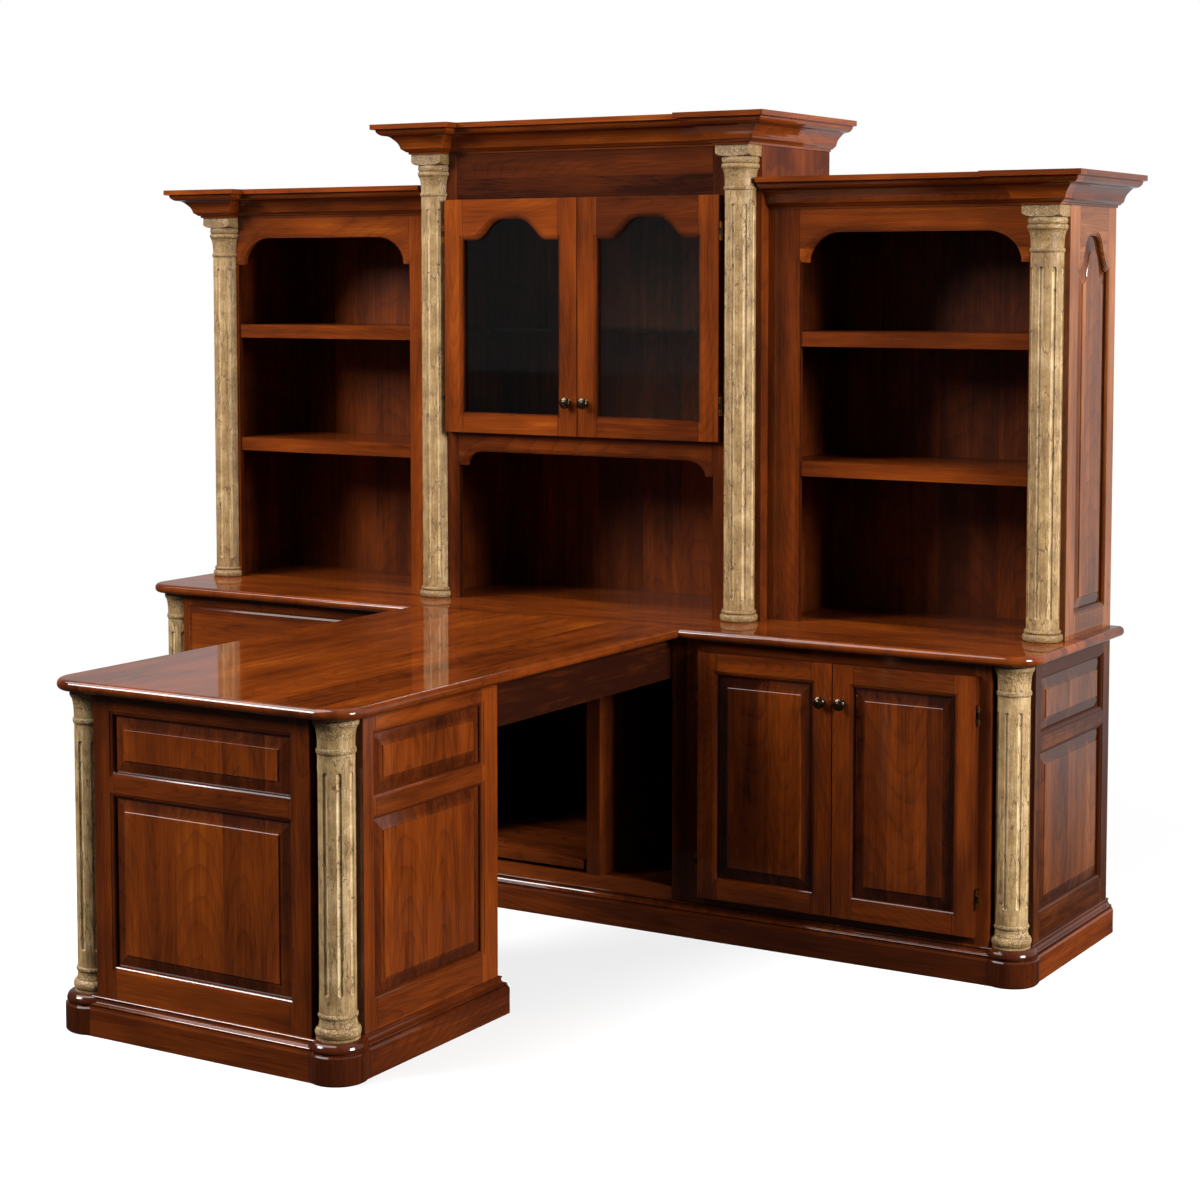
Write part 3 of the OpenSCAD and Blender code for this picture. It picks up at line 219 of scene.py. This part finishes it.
def wood(name, grain, seed, boards=None, rails=None, mitre=None, lid=None, pair=False, face=None,
         tone=0.0, gloss=0.07, coat=0.8, palette=CHERRY):
    """Stained and lacquered wood with its grain along the axis named grain.

    seed picks the boards. An axis is x, y or z, away for the distance from x = 0, or round for x + y,
    which counts boards along the pedestal's front and its sides alike. boards is (axis, width) of the
    boards that a piece is glued from. rails is (axis, low, high, gap), the stretch along axis in which
    a frame's rails run between its stiles, with gap None or the heights between which a middle stile
    stands. mitre is (half width, front) of a moulding's corner. lid is the height above which a
    case's roof boards lie, with their grain along x. pair says that left and right are two pieces.
    face gives the outer planes below which the wood is painted darker, as kept stain and painted shade;
    as y, the front, or x, the distance of a side.
    gloss is the roughness of the lacquer, and coat is its thickness.
    """
    material, tree = new_material(name)
    place = add(tree, "SeparateXYZ", [add(tree, "TexCoord").outputs["Object"]])
    at = {axis: place.outputs[axis.upper()] for axis in "xyz"}
    at["away"] = add(tree, "ABSOLUTE", [at["x"]])
    at["round"] = add(tree, "ADD", [at["x"], at["y"]])
    spaces = {axis: add(tree, "CombineXYZ", [at[a] for a in order]) for axis, order in ALONG.items()}

    cross = 0.0
    line = 0.0
    turned = None
    if rails:
        axis, low, high, gap = rails
        past_low = add(tree, "GREATER_THAN", [at[axis], low])
        before_high = add(tree, "LESS_THAN", [at[axis], high])
        cross = add(tree, "MULTIPLY", [past_low, before_high])
        joints = [add(tree, "COMPARE", [at[axis], end, JOINT_LINE]) for end in (low, high)]
        line = add(tree, "MAXIMUM", joints)
        turned = spaces[axis]
        if gap:
            over_low = add(tree, "GREATER_THAN", [at["z"], gap[0]])
            under_high = add(tree, "LESS_THAN", [at["z"], gap[1]])
            beside = add(tree, "MULTIPLY", [over_low, under_high])
            clear = add(tree, "SUBTRACT", [1.0, beside])
            cross = add(tree, "MULTIPLY", [cross, clear])
            line = add(tree, "MULTIPLY", [line, clear])
    if mitre:
        half, front = mitre
        past_side = add(tree, "SUBTRACT", [at["away"], half])
        past_front = add(tree, "SUBTRACT", [front, at["y"]])
        return_side = add(tree, "SUBTRACT", [past_side, past_front])
        cross = add(tree, "GREATER_THAN", [return_side, 0.0])
        line = add(tree, "COMPARE", [return_side, 0.0, JOINT_LINE])
        turned = spaces["y"]
    if lid:
        cross = add(tree, "GREATER_THAN", [at["z"], lid])
        turned = spaces["x"]
    grain_space = spaces[grain]
    if turned is not None:
        grain_space = add(tree, "Mix", {0: cross, 4: grain_space, 5: turned}, data_type="VECTOR")

    number = add(tree, "MULTIPLY_ADD", [cross, RAIL_LOT, float(seed)])
    if pair:
        right = add(tree, "GREATER_THAN", [at["x"], 0.0])
        number = add(tree, "MULTIPLY_ADD", [right, PAIR_LOT, number])
    if boards:
        axis, width = boards
        across = at[axis]
        if lid:
            across = add(tree, "Mix", {0: cross, 2: across, 3: at["y"]}, data_type="FLOAT")
        varies = add(tree, "TexNoise", {"W": across, "Scale": WIDTH_CHANGES}, noise_dimensions="1D")
        edge = add(tree, "MULTIPLY_ADD", [varies, width * WIDTH_VARIES, across])
        edge = add(tree, "DIVIDE", [edge, width])
        number = add(tree, "ADD", [number, add(tree, "FLOOR", [edge])])
        from_heart = add(tree, "SUBTRACT", [add(tree, "FRACT", [edge]), HEART_ACROSS])
        from_heart = add(tree, "MULTIPLY", [from_heart, width])
    if rails:
        height = add(tree, "FLOOR", [add(tree, "DIVIDE", [at["z"], RAIL_APART])])
        height = add(tree, "MULTIPLY", [height, cross])
        number = add(tree, "MULTIPLY_ADD", [height, HEIGHT_LOT, number])
    lot = add(tree, "TexWhiteNoise", {"W": number}, noise_dimensions="1D")

    moved = add(tree, "VectorMath", [lot.outputs["Color"], [LOT_APART] * 3], operation="MULTIPLY")
    moved = add(tree, "VectorMath", [grain_space, moved], operation="ADD")
    shown = {"lot": lot}
    for part, (across, along, detail, roughness, distortion) in FIGURE.items():
        scaled = add(tree, "VectorMath", [moved, (1 / across, 1 / across, 1 / along)], operation="MULTIPLY")
        shown[part] = add(tree, "TexNoise", {"Vector": scaled, "Scale": 1.0, "Detail": detail,
                                             "Roughness": roughness, "Distortion": distortion})
    radius = shown["rings"]
    if boards:
        depth = add(tree, "SeparateXYZ", [moved]).outputs["Z"]
        depth = add(tree, "MULTIPLY", [depth, RING_SLOPE])
        depth = add(tree, "MULTIPLY_ADD", [shown["blotch"], RING_WAVER, depth])
        depth = add(tree, "SUBTRACT", [depth, RING_SLOPE * HEART_ALONG])
        radius = add(tree, "CombineXYZ", [from_heart, depth])
        radius = add(tree, "VectorMath", [radius], operation="LENGTH")
    ring = add(tree, "FRACT", [add(tree, "DIVIDE", [radius, RING_PITCH])])
    ring = add(tree, "POWER", [ring, RING_SHARP])
    ring = add(tree, "MULTIPLY", [ring, add(tree, "ADD", [shown["streak"], RING_BREAK])])

    share = dict(FIGURE_SHARE, lot=LOT_SHARE["boards" if boards else "one_board"])
    shade = add(tree, "MULTIPLY_ADD", [ring, -RING_DARK, tone + STAIN_MIDDLE - sum(share.values()) / 2])
    for part, weight in share.items():
        shade = add(tree, "MULTIPLY_ADD", [shown[part], weight, shade])
    shade = add(tree, "MULTIPLY_ADD", [line, -JOINT_DARK, shade])
    # Painted shade: the wood is darker where it lies below its outer faces, in mouldings and on bevels,
    # standing also for stain kept there.
    if face:
        sunk = []
        if "y" in face:
            sunk.append(add(tree, "SUBTRACT", [at["y"], face["y"]]))
        if "x" in face:
            sunk.append(add(tree, "SUBTRACT", [face["x"], at["away"]]))
        sunk = add(tree, "MINIMUM", [sunk[0], sunk[-1]])
        stain_and_shade = add(tree, "MapRange", {"Value": sunk, "From Min": SUNK_DEPTHS[0],
                                      "From Max": SUNK_DEPTHS[1], "To Max": KEPT_STAIN_AND_SHADE})
        shade = add(tree, "SUBTRACT", [shade, stain_and_shade])

    colour = add(tree, "ValToRGB", [shade], list(zip(STAIN_STOPS, palette)))
    roughness = add(tree, "MapRange", {"Value": shown["pores"], "To Min": SEALED_ROUGHNESS[0],
                                       "To Max": SEALED_ROUGHNESS[1]})
    relief = add(tree, "Bump", {"Height": shown["pores"], "Strength": PORE_RELIEF, "Distance": PORE_DEPTH})
    lacquer = add(tree, "BsdfPrincipled", {
        "Base Color": colour, "Roughness": roughness, "Normal": relief, "Specular IOR Level": 0.0,
        "Coat Weight": coat, "Coat Roughness": gloss, "Coat IOR": LACQUER_IOR})
    add(tree, "OutputMaterial", {"Surface": lacquer})
    return material


def give(material, *names):
    """Puts a material on CAD nodes."""
    for name in names:
        slots = nodes[name].data.materials
        for i in range(len(slots)):
            slots[i] = material


# The case boards are painted darker than the fronts, as painted shade for their dim insides.
give(wood("cherry_case_boards", "z", 1, boards=("x", 0.14), tone=-0.22, gloss=0.3, coat=0.15),
     "left_cabinet_case", "right_cabinet_case", "centre_case", "pedestal_case", "centre_divider")

# Shelf behind the cabinet doors and pull-out tray: glued boards with the grain from side to side,
# stained like the cases and sealed a little thicker, because things slide on them.
# Painted darker like the cases, as painted shade inside them.
give(wood("cherry_shelves", "x", 2, boards=("y", 0.12), tone=-0.16, gloss=0.25, coat=0.3),
     "cabinet_shelf", "pullout_tray")

# Aprons under the kneehole top: narrow boards from the pedestal to the credenza. They are painted very
# dark, as painted shade for the shadow under the top, and have no polish.
# Painted shade: the aprons' very low tone.
give(wood("cherry_aprons", "y", 3, tone=-0.7, gloss=0.3, coat=0.3), "desk_aprons")

# Plinths and cap mouldings: shaped on a spindle moulder, mitred at the corners and glued on, so the
# grain turns at each mitre. Lacquered and rubbed out like the frames.
credenza_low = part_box("left_face_frame")[0]
credenza_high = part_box("credenza_end_frames")[1]
pedestal_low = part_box("pedestal_front_frame")[0]
pedestal_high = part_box("pedestal_side_frames")[1]
give(wood("cherry_credenza_mouldings", "x", 4, mitre=(credenza_high.x, credenza_low.y), tone=-0.02),
     "credenza_plinth")
give(wood("cherry_pedestal_mouldings", "x", 5, mitre=(pedestal_high.x, pedestal_low.y), tone=-0.06),
     "pedestal_plinth", "base_caps")

# Feet: turned from blocks with upright grain. The turned end grain drinks more stain and stays darker.
give(wood("dark_turned_cherry", "z", 61, tone=-0.2, gloss=0.1), "base_feet")

# Face frames: cherry stiles and rails, doweled and glued flush, so the grain turns at each joint. The
# middle frame's rails run through, above and below the short stile that stands before the divider.
INNER_STILE = 0.0515
OUTER_STILE = 0.040
KNEEHOLE_STILE = 0.042
DIVIDER_STILE = (0.118, 0.710)
RAILS_MEET = -1.0
for name in ("left_face_frame", "right_face_frame"):
    inner, outer = sorted(abs(corner.x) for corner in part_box(name))
    give(wood("cherry_" + name, "z", 11, rails=("away", inner + INNER_STILE, outer - OUTER_STILE, None),
              tone=-0.05), name)
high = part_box("centre_face_frame")[1]
give(wood("cherry_centre_face_frame", "z", 12, tone=-0.05,
          rails=("away", RAILS_MEET, high.x - KNEEHOLE_STILE, DIVIDER_STILE)), "centre_face_frame")

# Ends of the credenza: mortised frames with raised panels held loose in their grooves, each panel
# glued from a few boards. They are painted browner and paler than the fronts, a painted sheen for the
# pale light that the ends catch from the side.
# Painted sheen: the ends' colours, paler and browner than the fronts.
SHEEN_PALE_CHERRY = ("#351608", "#643313", "#8a5128", "#b07a46")
END_STILES = (0.0445, 0.0545)
low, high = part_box("credenza_end_frames")
give(wood("cherry_credenza_ends", "z", 21, pair=True, face={"x": high.x}, tone=-0.44, coat=0.45,
          palette=SHEEN_PALE_CHERRY, rails=("y", low.y + END_STILES[0], high.y - END_STILES[1], None)),
     "credenza_end_frames")
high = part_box("credenza_end_panels")[1]
give(wood("cherry_end_panels", "z", 24, pair=True, boards=("y", 0.11), face={"x": high.x}, tone=-0.26,
          palette=SHEEN_PALE_CHERRY), "credenza_end_panels")

# Faces of the pedestal: the same frames and raised panels on three sides, in the desk's full colour,
# and a plain glued board towards the kneehole.
SIDE_STILES = (0.0445, 0.0615)
FRONT_STILE = 0.0545
low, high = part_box("pedestal_side_frames")
give(wood("cherry_pedestal_sides", "z", 22, pair=True, tone=-0.07, face={"x": high.x},
          rails=("y", low.y + SIDE_STILES[0], high.y - SIDE_STILES[1], None)), "pedestal_side_frames")
low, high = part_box("pedestal_front_frame")
give(wood("cherry_pedestal_front", "z", 23, tone=0.04, face={"y": low.y},
          rails=("x", low.x + FRONT_STILE, high.x - FRONT_STILE, None)), "pedestal_front_frame")
low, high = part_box("pedestal_panels")
give(wood("cherry_pedestal_panels", "z", 25, boards=("round", 0.12), tone=0.03,
          face={"y": low.y, "x": high.x}), "pedestal_panels")
give(wood("cherry_pedestal_back", "z", 26, boards=("x", 0.12), tone=-0.05), "pedestal_back")

# Tops: boards glued edge to edge, rounded over on a spindle moulder and rubbed out to the highest
# gloss. The desk top's grain runs towards the credenza, the credenza top's from side to side.
give(wood("cherry_desk_top", "y", 31, boards=("x", 0.13), gloss=0.05), "desk_top")
give(wood("cherry_credenza_top", "x", 32, boards=("y", 0.13), gloss=0.05), "credenza_top")

# Cabinet doors: frames with raised panels from the best boards. The mouldings and the panels' bevels
# lie below the faces and are painted darker, as stain kept there and as painted shade.
DOOR_STILE = 0.054
for seed, name in enumerate(("left_door_frame", "right_door_frame"), 41):
    low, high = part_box(name)
    give(wood("cherry_" + name, "z", seed, tone=-0.06, face={"y": low.y},
              rails=("x", low.x + DOOR_STILE, high.x - DOOR_STILE, None)), name)
for seed, name in enumerate(("left_door_panel", "right_door_panel"), 43):
    give(wood("cherry_" + name, "z", seed, boards=("x", 0.1), tone=-0.16, face={"y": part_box(name)[0].y}),
         name)

# File drawers: fronts from one cherry board each, and boxes with their runners from hard maple, planed
# and sealed clear, which is pale and fine grained.
MAPLE = ("#8a6238", "#b08a58", "#c9a673", "#dcc094")
for seed, name in enumerate(("upper_drawer_front", "lower_drawer_front"), 47):
    give(wood("cherry_" + name, "x", seed, tone=0.02, face={"y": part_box(name)[0].y}), name)
give(wood("sealed_maple", "x", 71, gloss=0.4, palette=MAPLE),
     "upper_drawer_box", "lower_drawer_box", "drawer_runners")


# Knobs, hinges and the tray's runners. The knobs are cast zinc with a dark antique bronze plating that
# is rubbed paler in places, the hinges have a brown brass plating, and the runners are zinc plated steel.
RUBBED_SMOOTHER = 0.1


def metal(name, dark, light, roughness, mottle):
    """Plated metal in two colours, smoother where it is rubbed light. mottle is the spots' size."""
    material, tree = new_material(name)
    coords = add(tree, "TexCoord").outputs["Object"]
    rubbed = add(tree, "TexNoise", {"Vector": coords, "Scale": 1 / mottle, "Detail": 3.0})
    colour = add(tree, "ValToRGB", [rubbed], [(0.35, dark), (0.65, light)])
    smooth = add(tree, "MapRange", {"Value": rubbed, "To Min": roughness + RUBBED_SMOOTHER,
                                    "To Max": roughness - RUBBED_SMOOTHER})
    plating = add(tree, "BsdfPrincipled", {"Base Color": colour, "Metallic": 1.0, "Roughness": smooth})
    add(tree, "OutputMaterial", {"Surface": plating})
    return material


give(metal("antique_bronze_plating", "#2b241d", "#6b5a45", 0.24, 0.006),
     "left_door_hardware", "right_door_hardware", "upper_drawer_knobs", "lower_drawer_knobs",
     "left_glass_door_hardware", "right_glass_door_hardware")
give(metal("brown_brass_plating", "#4b2c14", "#8a5c30", 0.34, 0.004),
     "cabinet_door_hinges", "glass_door_hinges")
give(metal("zinc_plated_steel", "#8f9296", "#b4b7ba", 0.35, 0.004), "tray_runners")

# Columns: turned and fluted hardwood, painted cream over a brown ground with crackle medium between.
# The paint split into small islands on the bells and along the grain of the shafts. A brown glaze
# clouds it and stays in the cracks. The flutes' floors are painted paler than the shaft, as painted
# light against the shade in the deep grooves.
SHAFT = 0.039
FLUTE_DEPTH = 0.0035
FLUTE_EDGE = 0.0003
FLUTE_PAINTED_LIGHT = 0.22
BELL_FROM = 0.0006
# Islands of paint: width and length in metres, and the width of the widest cracks as a share of them.
# Only patches of the paint have cracked, larger ones on the bells, and the rest has hair cracks.
BELL_CRACKS = (0.0068, 0.0068, 0.14)
SHAFT_CRACKS = (0.010, 0.075, 0.06)
HAIR_CRACK = 0.001
CRACKED_FROM = (0.34, 0.56)
CRACKED_BELL = 0.12
# In metres: the waves in a crack and their reach, the cracked patches, the grit of the paint, the
# clouds of the glaze, and the width and length of the marks left where it was wiped.
CRACK_WANDER = 1 / 90
CRACK_REACH = 0.006
CRACK_PATCH = 1 / 14
GRIT = 1 / 420
CLOUD = 1 / 22
WIPE = (1 / 150, 1 / 7)
GRIT_SHARE = 0.5
CLOUD_SHARE = 0.75
WIPE_SHARE = 0.3
GLAZED_CREAM = ((0.0, "#5a3f22"), (0.3, "#8a6d43"), (0.58, "#bc9f73"), (1.0, "#eddfbb"))
CRACK_BROWN = "#54391e"
PARTING = 0.0


def crackled_paint(name, near, far, tone):
    """Crackled and glazed cream paint. near and far are the axes of the columns before and behind y = 0."""
    material, tree = new_material(name)
    coords = add(tree, "TexCoord").outputs["Object"]
    place = add(tree, "SeparateXYZ", [coords])
    is_far = add(tree, "GREATER_THAN", [place.outputs["Y"], PARTING])
    axis = add(tree, "Mix", {0: is_far, 4: (*near, 0.0), 5: (*far, 0.0)}, data_type="VECTOR")
    flat = add(tree, "CombineXYZ", [add(tree, "ABSOLUTE", [place.outputs["X"]]), place.outputs["Y"]])
    reach = add(tree, "VectorMath", [flat, axis], operation="DISTANCE")
    flute = add(tree, "MapRange", {"Value": reach, "From Min": SHAFT - FLUTE_DEPTH,
                                   "From Max": SHAFT - FLUTE_EDGE, "To Min": 1.0, "To Max": 0.0})
    bell = add(tree, "GREATER_THAN", [reach, SHAFT + BELL_FROM])

    wander = add(tree, "TexNoise", {"Vector": coords, "Scale": 1 / CRACK_WANDER, "Detail": 2.0})
    bent = add(tree, "VectorMath", [wander.outputs["Color"], [CRACK_REACH] * 3, coords],
               operation="MULTIPLY_ADD")
    islands = [(1 / wide, 1 / wide, 1 / long) for wide, long, widest in (SHAFT_CRACKS, BELL_CRACKS)]
    size = add(tree, "Mix", {0: bell, 4: islands[0], 5: islands[1]}, data_type="VECTOR")
    cells = add(tree, "VectorMath", [bent, size], operation="MULTIPLY")
    split = add(tree, "TexVoronoi", {"Vector": cells, "Scale": 1.0}, feature="DISTANCE_TO_EDGE")
    patch = add(tree, "TexNoise", {"Vector": coords, "Scale": 1 / CRACK_PATCH, "Detail": 2.0})
    patch = add(tree, "MULTIPLY_ADD", [bell, CRACKED_BELL, patch])
    widest = add(tree, "Mix", {0: bell, 2: SHAFT_CRACKS[2], 3: BELL_CRACKS[2]}, data_type="FLOAT")
    wide = add(tree, "MapRange", {"Value": patch, "From Min": CRACKED_FROM[0], "From Max": CRACKED_FROM[1],
                                  "To Min": HAIR_CRACK, "To Max": widest})
    crack = add(tree, "MapRange", {"Value": split, "From Min": 0.0, "From Max": wide,
                                   "To Min": 1.0, "To Max": 0.0})

    grit = add(tree, "TexNoise", {"Vector": coords, "Scale": 1 / GRIT, "Detail": 3.0, "Roughness": 0.7})
    cloud = add(tree, "TexNoise", {"Vector": coords, "Scale": 1 / CLOUD, "Detail": 4.0, "Roughness": 0.65})
    drawn = add(tree, "VectorMath", [coords, (1 / WIPE[0], 1 / WIPE[0], 1 / WIPE[1])], operation="MULTIPLY")
    wiped = add(tree, "TexNoise", {"Vector": drawn, "Scale": 1.0, "Detail": 3.0})
    shares = ((grit, GRIT_SHARE), (cloud, CLOUD_SHARE), (wiped, WIPE_SHARE))
    middle = tone + (1 - GRIT_SHARE - CLOUD_SHARE - WIPE_SHARE) / 2
    # Painted light: the flutes' floors are painted paler, against the shade in the deep grooves.
    shade = add(tree, "MULTIPLY_ADD", [flute, FLUTE_PAINTED_LIGHT, middle])
    for part, share in shares:
        shade = add(tree, "MULTIPLY_ADD", [part, share, shade])
    paint = add(tree, "ValToRGB", [shade], GLAZED_CREAM)
    colour = add(tree, "Mix", {0: crack, 6: paint, 7: linear(CRACK_BROWN)}, data_type="RGBA")
    height = add(tree, "MULTIPLY_ADD", [crack, -1.0, grit])
    relief = add(tree, "Bump", {"Height": height, "Strength": 0.5, "Distance": 0.0006})
    chalk = add(tree, "BsdfPrincipled", {"Base Color": colour, "Roughness": 0.55, "Normal": relief,
                                         "Specular IOR Level": 0.4})
    add(tree, "OutputMaterial", {"Surface": chalk})
    return material


COLUMN_IN = 0.0385
CAPITAL = 0.048
give(crackled_paint("crackled_base_columns", (pedestal_high.x - COLUMN_IN, pedestal_low.y + COLUMN_IN),
                    (credenza_high.x - COLUMN_IN, credenza_low.y + COLUMN_IN), -0.13), "base_columns")
for name, node, tone in (("crackled_middle_columns", "centre_hutch_columns", -0.2),
                         ("crackled_side_columns", "side_hutch_columns", -0.21)):
    low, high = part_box(node)
    axis = (high.x - CAPITAL, low.y + CAPITAL)
    give(crackled_paint(name, axis, axis, tone), node)

# Hutch cases and shelves: upright boards for sides and backs, stained and only sealed, under a roof
# whose boards run from side to side. The shelves have a deep front edge with more lacquer.
LID = 0.02
# The cases are painted darker than the frames, as painted shade inside the bays.
for seed, name in enumerate(("left_hutch_case", "centre_hutch_case", "right_hutch_case"), 91):
    give(wood("cherry_" + name, "z", seed, boards=("x", 0.15), tone=-0.1, gloss=0.3, coat=0.3,
              lid=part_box(name)[1].z - LID), name)
give(wood("cherry_hutch_shelves", "x", 52, tone=0.04, coat=0.5), "side_hutch_shelves")

# Face frames of the hutch: stiles and arched rails, sawn, sanded and lacquered like the frames below.
BAY_SIDES = (0.598, 1.201)
MIDDLE_SIDE = 0.388
give(wood("cherry_side_hutch_frames", "z", 53, pair=True, rails=("away", *BAY_SIDES, None), tone=0.1),
     "side_hutch_face_frames")
give(wood("cherry_centre_hutch_frame", "z", 54, rails=("away", RAILS_MEET, MIDDLE_SIDE, None), tone=-0.26),
     "centre_hutch_face_frame")

# Ends of the hutch: frames with an ogee head round one tall raised panel, painted pale like the
# credenza's ends, a painted sheen for the light from the side.
HUTCH_END_STILES = (0.066, 0.056)
low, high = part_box("hutch_end_frames")
give(wood("cherry_hutch_ends", "z", 55, pair=True, tone=-0.14, palette=SHEEN_PALE_CHERRY, face={"x": high.x},
          rails=("y", low.y + HUTCH_END_STILES[0], high.y - HUTCH_END_STILES[1], None)), "hutch_end_frames")
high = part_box("hutch_end_panels")[1]
give(wood("cherry_hutch_end_panels", "z", 56, pair=True, boards=("y", 0.12), face={"x": high.x}, tone=-0.14,
          palette=SHEEN_PALE_CHERRY), "hutch_end_panels")

# Crowns: built up from moulded strips that are mitred at the corners and nailed to the cases from
# behind, with the grain along each strip.
side_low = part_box("side_hutch_face_frames")[0]
middle_low, middle_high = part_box("centre_hutch_face_frame")
give(wood("cherry_side_crowns", "x", 57, mitre=(credenza_high.x, side_low.y)), "side_hutch_crowns")
give(wood("cherry_centre_crown", "x", 58, mitre=(middle_high.x, middle_low.y)), "centre_hutch_crown")

# Glass doors and glass shelf: cherry frames with an ogee head, painted darker below their faces like the
# cabinet doors, and clear float glass, faintly green, whose surface is so nearly flat that reflections
# only just waver.
GLASS_STILE = 0.058
GLASS_IOR = 1.5
GLASS_RIPPLE = 1 / 3
for seed, name in ((85, "left_glass_door_frame"), (87, "right_glass_door_frame")):
    low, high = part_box(name)
    give(wood("cherry_" + name, "z", seed, face={"y": low.y},
              rails=("x", low.x + GLASS_STILE, high.x - GLASS_STILE, None)), name)
glass, tree = new_material("float_glass")
ripple = add(tree, "TexNoise", {"Vector": add(tree, "TexCoord").outputs["Object"], "Scale": 1 / GLASS_RIPPLE})
relief = add(tree, "Bump", {"Height": ripple, "Strength": 0.05, "Distance": 0.001})
tint = add(tree, "ValToRGB", [ripple], [(0.0, "#e9f2ee"), (1.0, "#f3f8f5")])
clear = add(tree, "BsdfPrincipled", {"Base Color": tint, "Roughness": 0.02, "IOR": GLASS_IOR,
                                     "Transmission Weight": 1.0, "Normal": relief})
add(tree, "OutputMaterial", {"Surface": clear})
give(glass, "left_glass_pane", "right_glass_pane", "glass_shelf")
